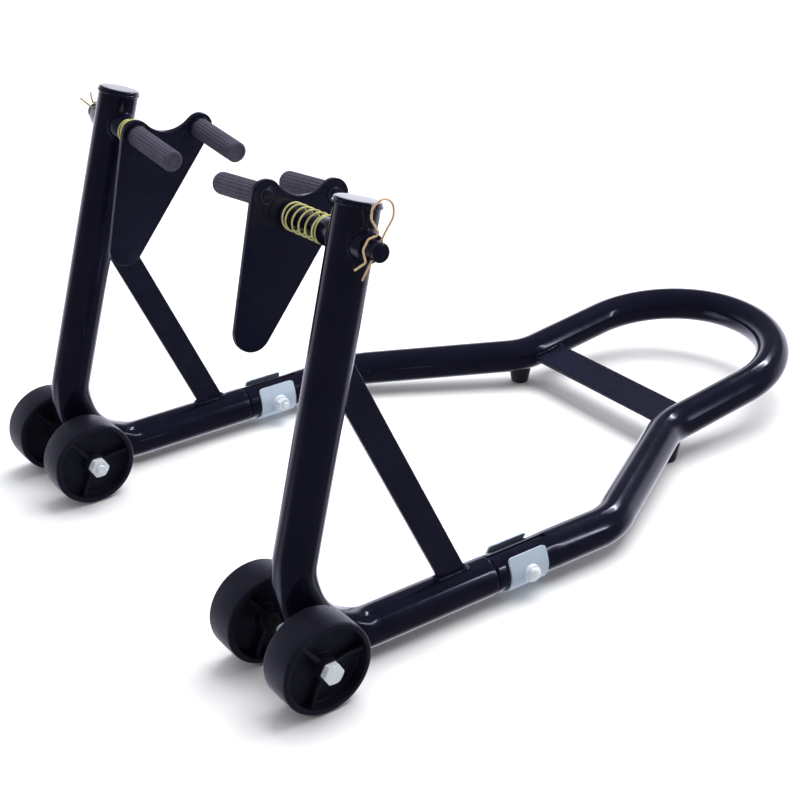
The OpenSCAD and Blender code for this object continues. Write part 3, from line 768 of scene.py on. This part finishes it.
def pins():
    r, root = PIN_R, PLATE_OUT
    nose = [(r - rounding(d, 2.2), PIN_END - d) for d in (2.2, 1.6, 1.1, 0.6, 0.25, 0.05)]
    profile = [(0, root - 1), (r + 3.4, root - 1), (r + 3.1, root + 0.6), (r + 1.6, root + 2.2),
               (r + 0.5, root + 3.6), (r, root + COLLAR_H), (r, root + 30)] + nose + [(0, PIN_END)]
    both("pivot_pin_form", round_pin(turned(profile, 56, closed=False)), gloss_black, "{}_cradle",
         ["pivot_pin"])


def ribbed(radius, angle):
    """Radius of the sleeve at an angle: flat-topped ribs with round grooves between."""
    t = (angle * PEG_RIBS / (2 * math.pi)) % 1.0
    off = min(t, 1 - t) * 2 * math.pi * radius / PEG_RIBS
    return radius - (math.sqrt(GROOVE_R ** 2 - off ** 2) - 0.2 if off < GROOVE_R * 0.97 else 0.0)


def peg_sleeves():
    n = PEG_RIBS * 10
    angles = [2 * math.pi * k / n for k in range(n)]

    def ring(h, radius, depth):
        out = []
        for a in angles:
            r = radius - (radius - ribbed(radius, a)) * depth
            out.append(Vector((r * math.cos(a), r * math.sin(a), h)))
        return out
    rings = [ring(PEG_LEN, 6.1, 0), ring(PEG_LEN, PEG_R - 0.6, 1), ring(PEG_LEN - 0.5, PEG_R, 1),
             ring(PEG_LEN * 0.5, PEG_R, 1), ring(3.0, PEG_R, 1), ring(1.6, PEG_R, 0.75),
             ring(0.8, PEG_R - 0.25, 0.3), ring(0.2, PEG_R - 0.9, 0), ring(0.0, PEG_R - 1.5, 0),
             ring(0.0, 6.7, 0), ring(0.25, 6.3, 0), ring(0.9, 6.1, 0), ring(0.8, 3.2, 0), ring(0.7, 0.4, 0)]
    mesh = capped([r[::-1] for r in rings])
    for name, lug in (("front", FRONT_LUG), ("rear", REAR_LUG)):
        cradle_pair(f"{name}_peg_sleeve_form",
                    lambda turn, at=lug: plate_fixed(turn, mesh, PLATE_IN - PEG_LEN, *at), peg_rubber,
                    [f"{name}_peg_sleeve"], sharp=50)


def springs():
    """Coils with closed ends between the cradle plate and the bush."""
    start, end = PLATE_OUT + COLLAR_H + 0.2, BUSH_IN - 0.3
    path = []
    steps = int(COILS * 36)
    for k in range(steps + 1):
        turns = COILS * k / steps
        share = min(1.0, max(0.0, (turns - 0.75) / (COILS - 1.5)))
        rise = start + SPRING_WIRE + (end - start - 2 * SPRING_WIRE) * share
        t = 2 * math.pi * turns
        path.append(on_pin(rise, -SPRING_R * math.sin(t), -SPRING_R * math.cos(t)))
    mesh = rod(path, SPRING_WIRE, 12, pin_dir)
    for obj, side, flip in zip(both("spring_form", mesh, yellow_zinc, "", ["spring"]),
                               ("right", "left"), (1, -1)):
        def at(w):
            p = on_pin(w)
            return Vector((p.x * flip, p.y, p.z)) * MM
        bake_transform(obj)


def clips():
    """A spring clip of bent wire through each pin: the straight leg first, then the wavy one."""
    corners = [(0, -25), (0, 16), (1, 29), (-5, 38.5), (-15.5, 38), (-21.5, 28), (-17.5, 19.5), (-3.8, 12.3),
               (-11.8, 5), (-11.8, -4), (-4.2, -11.3), (-10.9, -20.5)]
    bends = [12, 9, 8, 8, 7, 6, 2.5, 3.5, 3.5, 2]
    flat = fillet([Vector((a, b, 0)) for a, b in corners], bends, 10.0)
    for side, turned_by in (("right", -SWING), ("left", SWING + LEFT_CLIP_TURN)):
        t = math.radians(CLIP_TILT + turned_by)
        path = []
        for p in flat:
            a, b = -p.y, p.x
            u, w = a * math.cos(t) - b * math.sin(t), a * math.sin(t) + b * math.cos(t)
            path.append(on_pin(CLIP_AT, w, -u))
        mesh = rod(path, CLIP_R, 14, pin_dir)
        piece(f"{side}_r_clip_form", mesh if side == "right" else mirrored(mesh), clip_zinc,
              f"{side}_cradle", [f"{side}_r_clip"])


# ---------------------------------------------------------------- clamp joints
CLAMP_Y, CLAMP_LEN, CLAMP_T, CLAMP_LEAN = JOINT_Y + 13, 44.0, 2.0, 23.0
BOLT_Y = CLAMP_Y + 23
bolt_at = Vector((ARM_X, BOLT_Y, arm_height(BOLT_Y)))
WASHER_FACE = TUBE_R + CLAMP_T + 3


def clamp_brackets():
    """One sheet bent round the underside of the tube, its two edges leaning together."""
    lean = math.radians(CLAMP_LEAN)
    leg = (TUBE_R - TUBE_R * math.sin(lean)) / math.cos(lean)
    down = [leg * k / 12 for k in range(13)]
    count = 52
    # Each station is the distance from the sheet's edge, the way it faces, and the height on its leg
    stations = [(d, lean, leg - d) for d in down]
    stations += [(None, lean - (math.pi + 2 * lean) * k / count, 0) for k in range(1, count)]
    stations += [(d, math.pi - lean, leg - d) for d in reversed(down)]
    rings = []
    for d, angle, beyond in stations:
        normal = Vector((math.cos(angle), 0, math.sin(angle)))
        rise = Vector((-math.sin(lean), 0, math.cos(lean))) if angle == lean else \
            Vector((math.sin(lean), 0, math.cos(lean)))
        near = normal * (TUBE_R + HAIR) + rise * beyond
        far = normal * (TUBE_R + CLAMP_T) + rise * beyond
        cut = rounding(d, 4.0) if d is not None else 0.0
        y0, y1 = CLAMP_Y + cut, CLAMP_Y + CLAMP_LEN - cut
        base = [Vector((ARM_X, y, arm_height(y))) for y in (y0, y1)]
        rings.append([base[0] + near, base[0] + far, base[1] + far, base[1] + near])
    both("clamp_bracket_form", capped(rings), zinc, nodes=["clamp_bracket"], bevel=0.35, sharp=50,
         weighted=True)


def round_bolt(mesh, x, outward=True):
    """A mesh drawn round local z, set on the clamp bolt's line; outward is away from the middle."""
    return placed(mesh, bolt_at + X * x, Y, Z, X) if outward else placed(mesh, bolt_at + X * x, Z, Y, -X)


def threaded(radius, start, end, pitch=1.25, depth=0.45):
    """Profile points of a thread's ridges from start to end."""
    out, h = [], start
    while h + pitch < end:
        out += [(radius - depth, h), (radius, h + pitch / 2)]
        h += pitch
    return out + [(radius - depth, end - 0.3)]


def clamp_fixings():
    head_r, skirt, rise = 7.0, 0.9, 3.5
    dome = [(0, -2.0), (head_r, -2.0), (head_r, skirt)]
    dome += [(head_r * math.cos(math.radians(a)), skirt + rise * math.sin(math.radians(a)))
             for a in (14, 28, 42, 56, 70, 82)]
    dome.append((0, skirt + rise))
    reach = WASHER_FACE + 9.5
    full = reach + WASHER_FACE
    shank = [(0, 0), (3.4, 0)] + threaded(4.0, 0.4, 12) + [(3.98, 14), (3.98, full), (0, full)]
    both("clamp_bolt_form", join(round_bolt(turned(dome, 40, closed=False), WASHER_FACE),
                                 round_bolt(turned(shank, 32, closed=False), -reach)), bolt_zinc,
         nodes=["clamp_bolt"])
    both("clamp_nut_form", round_bolt(hexagon(13, 6.5, 4.02, both_ends=True), -WASHER_FACE, False),
         bolt_zinc, nodes=["clamp_nut"], weighted=True)
    profile = [(4.3, 19.6), (8.5, 19.6), (8.5, 23.5), (8.35, 23.85), (8.0, 24.0), (4.3, 24.0)]
    washer = turned(profile, 40)
    both("clamp_washers_form", join(round_bolt(washer, 0), round_bolt(washer, 0, False)), bolt_zinc,
         nodes=["clamp_washers"])


# ---------------------------------------------------------------- wheels
WHEEL_R, WHEEL_W, RECESS, AXLE_R = 42.98, 34.0, 11.0, 5.0
RIB_ANGLE, RIB_FROM, RIB_LEN = 8.0, 9.5, 29
AXLE_OUT_X, AXLE_IN_X, AXLE_WASHER_T = 277.0, 151.0, 1.9  # faces that the head and the nut press on
HEX_FLATS, HEAD_H, NUT_H = 17, 6.4, 8.4
FOOT_AT = Vector((123, 162, 0))


def wheel_mesh():
    half = [(AXLE_R + RUN_GAP, 0.35), (10.4, 0.35), (11.0, RECESS), (36.6, RECESS), (37.3, 0.0),
            (WHEEL_R - 0.25, 0.0), (WHEEL_R, WHEEL_W / 2)]
    radii = [0.4, 0.7, 1.6, 2.0, 0.7, 4.6, 0]
    loop = half + [(r, WHEEL_W - h) for r, h in reversed(half[:-1])]
    radii = radii + list(reversed(radii[:-1]))
    shell = turned(soft_corners(loop, radii, 6), 96)
    ribs = []
    for face in (0, 1):
        for k in range(3):
            a = math.radians(RIB_ANGLE + 120 * k)
            u, w = Vector((math.cos(a), math.sin(a), 0)), Vector((-math.sin(a), math.cos(a), 0))
            rings = []
            for r in [RIB_FROM + RIB_LEN * j / 12 for j in range(13)]:
                dip = 3.4 + 1.6 * math.sin(math.pi * (r - RIB_FROM) / RIB_LEN)
                width = 2.0 + 0.5 * abs((r - 24) / 14.5) ** 3
                h0, h1 = RECESS + 1.5, dip
                if face:
                    h0, h1 = WHEEL_W - h0, WHEEL_W - h1
                step = 0.6 if not face else -0.6
                rings.append([u * r + w * b + Z * h for b, h in (
                    (-width - 0.3, h0), (-width, h1 + step), (-width + 0.6, h1), (width - 0.6, h1),
                    (width, h1 + step), (width + 0.3, h0))])
            ribs.append(capped(rings))
    return join(shell, *ribs)


def wheels():
    mesh = wheel_mesh()
    for name in ("outer", "inner"):
        hub = joint_at[f"right_{name}_wheel_spin"]
        both(f"{name}_wheel_form", placed(mesh, hub - X * WHEEL_W / 2, Y, Z, X), wheel_plastic,
             "{}_" + name + "_wheel", [f"{name}_wheel"], sharp=42)


def axle_fixings():
    axle = joint_at["right_outer_wheel_spin"].copy()
    axle.x = 0
    head = hexagon(HEX_FLATS, HEAD_H)
    shank = [(0, 0), (4.2, 0)] + threaded(5.0, 0.5, 14, 1.5, 0.5) + [(4.98, 16), (4.98, 138), (0, 138)]
    bolt = join(placed(head, axle + X * AXLE_OUT_X, Y, Z, X),
                placed(turned(shank, 40, closed=False), axle + X * (AXLE_IN_X - 12), Y, Z, X))
    both("axle_bolt_form", bolt, bolt_zinc, nodes=["axle_bolt"], weighted=True)
    nut = hexagon(HEX_FLATS, NUT_H, AXLE_R + HAIR, both_ends=True)
    both("axle_nut_form", placed(nut, axle + X * (AXLE_IN_X - NUT_H), Y, Z, X), bolt_zinc,
         nodes=["axle_nut"], weighted=True)
    bore, thick = AXLE_R + HAIR, AXLE_WASHER_T
    profile = [(bore, 0), (9.8, 0), (10, 0.2), (10, 1.7), (9.8, thick), (bore, thick)]
    washer = turned(profile, 48)
    rings = [placed(washer, axle + X * x, Y, Z, X) for x in (AXLE_IN_X, AXLE_OUT_X - thick)]
    both("axle_washers_form", join(*rings), dark_zinc, nodes=["axle_washers"])


def feet():
    profile = [(0, 0), (8.6, 0), (9.5, 0.25), (10.0, 1.0), (10.3, 2.2), (11.9, 12.0), (13.2, 19.5),
               (13.4, 20.6), (12.8, 21.4), (0, 21.8)]
    foot = turned(profile, 48, closed=False)
    both("foot_form", placed(foot, FOOT_AT, X, Y, Z), foot_rubber, nodes=["foot"])


arm_tubes()
handle_tube()
braces()
crossbar()
top_caps()
bushes()
plates()
pins()
peg_sleeves()
springs()
clips()
clamp_brackets()
clamp_fixings()
wheels()
axle_fixings()
feet()

# CAD nodes that stay as they are get the same finishes
CARRIED = {"arm_sleeve": weld_black, "axle_spacers": dark_zinc, "foot_stud": gloss_black,
           "front_peg_core": bare_steel, "rear_peg_core": bare_steel}
for stem, look in CARRIED.items():
    for side in ("right", "left"):
        carried = frame["nodes"][f"{side}_{stem}"]
        carried.data.materials.clear()
        carried.data.materials.append(look)


# ---------------------------------------------------------------- floor, light and background
FLOOR_SIZE, BACKDROP_R, ROOM_R = 30.0, 28, 26  # metres
TO_FAR_SIDE = Vector((-0.81, 0.58, 0))
TO_WINDOW = Vector((-0.40, -0.80, -0.44)).normalized()
TO_BACK = Vector((-0.77, 0.62, 0.30)).normalized()
# name, place, point aimed at, size, power, and whether paint mirrors it
LAMPS = (("key", (-0.2, 0.7, 2.6), (0, 0, 0.1), (2.6, 1.6), 75, False),
         ("front", (0.6, -2.6, 1.7), (0.0, -0.1, 0.2), (1.8, 0.6), 12, False),
         ("strip", (-0.5, 2.2, 2.2), (0.0, 0.3, 0.1), (1.2, 0.10), 12, True),
         ("side_strip", (2.2, 1.6, 1.5), (0.1, 0, 0.15), (0.12, 1.4), 7, True))


def shaded_plane(name, size, look):
    data = bpy.data.meshes.new(name)
    corners = [(-size, -size, 0), (size, -size, 0), (size, size, 0), (-size, size, 0)]
    data.from_pydata(corners, [], [(0, 1, 2, 3)])
    data.materials.append(look)
    obj = bpy.data.objects.new(name, data)
    bpy.context.scene.collection.objects.link(obj)
    return obj


def glowing(name):
    """A black material for a light of its own: the material, its node tree and its shader."""
    made = bpy.data.materials.new(name)
    made.use_nodes = True
    shader = made.node_tree.nodes["Principled BSDF"]
    shader.inputs["Base Color"].default_value = (0, 0, 0, 1)
    shader.inputs["Specular IOR Level"].default_value = 0
    return made, made.node_tree, shader


def shell(name, radius, look, seen_by):
    """A sphere round the scene that one kind of ray sees."""
    data = bpy.data.meshes.new(name)
    ball = bmesh.new()
    bmesh.ops.create_icosphere(ball, subdivisions=4, radius=radius)
    ball.to_mesh(data)
    ball.free()
    data.materials.append(look)
    obj = bpy.data.objects.new(name, data)
    bpy.context.scene.collection.objects.link(obj)
    for ray in ("camera", "diffuse", "glossy", "transmission", "volume_scatter", "shadow"):
        setattr(obj, "visible_" + ray, ray == seen_by)


def studio():
    floor_look = finish("pale_floor", (0.86, 0.86, 0.87), (0.88, 0.88, 0.89), (0.7, 0.8), patch=2, grain=60)
    shaded_plane("floor", FLOOR_SIZE, floor_look).visible_glossy = False
    glow, _, shader = glowing("pale_backdrop")
    shader.inputs["Emission Color"].default_value = (0.95, 0.95, 0.96, 1)
    shader.inputs["Emission Strength"].default_value = 1.0
    shell("backdrop", BACKDROP_R, glow, "camera")

    # What polished paint mirrors: dark above and in front, bright low down behind the stand
    glow, tree, shader = glowing("reflected_room")
    place = node(tree, "TexCoord").outputs["Object"]
    way = node(tree, "VectorMath", {0: place}, operation="NORMALIZE").outputs[0]
    far = node(tree, "VectorMath", {0: way, 1: TO_FAR_SIDE}, operation="DOT_PRODUCT")
    low = spread(tree, node(tree, "SeparateXYZ", {0: way}).outputs[2], 1.0, 0.0, 0.14, 0.36)
    low_far = node(tree, "Math", {0: low, 1: spread(tree, far.outputs["Value"], 0.0, 1.5, 0.08, 0.95)},
                   operation="MULTIPLY").outputs[0]
    window = node(tree, "VectorMath", {0: way, 1: TO_WINDOW}, operation="DOT_PRODUCT")
    window_light = spread(tree, window.outputs["Value"], 0.12, 1.1, 0.93, 0.99)
    glimmer = node(tree, "Math", {0: low_far, 1: window_light}, operation="ADD").outputs[0]
    shader.inputs["Emission Color"].default_value = (0.88, 0.88, 1.0, 1)
    tree.links.new(glimmer, shader.inputs["Emission Strength"])
    shell("reflected_room", ROOM_R, glow, "glossy")

    world = bpy.data.worlds.new("studio")
    world.use_nodes = True
    tree = world.node_tree
    tree.nodes.clear()
    way = node(tree, "TexCoord").outputs["Generated"]
    behind = node(tree, "VectorMath", {0: way, 1: TO_BACK}, operation="DOT_PRODUCT").outputs["Value"]
    strength = spread(tree, behind, 0.03, 1.5, -0.3, 0.6)
    back = node(tree, "Background", {"Color": (0.97, 0.98, 1.0, 1), "Strength": strength})
    node(tree, "OutputWorld", {"Surface": back.outputs[0]})
    bpy.context.scene.world = world
    for name, place, aim, size, power, mirrored_in_paint in LAMPS:
        lamp = bpy.data.lights.new(name, "AREA")
        lamp.shape, lamp.size, lamp.size_y, lamp.energy = "RECTANGLE", *size, power
        obj = bpy.data.objects.new(name, lamp)
        obj.location = place
        obj.rotation_mode = "QUATERNION"
        obj.rotation_quaternion = (Vector(aim) - Vector(place)).to_track_quat("-Z", "Y")
        obj.visible_glossy = mirrored_in_paint
        bpy.context.scene.collection.objects.link(obj)
    bpy.context.scene.view_settings.view_transform = "Standard"


studio()
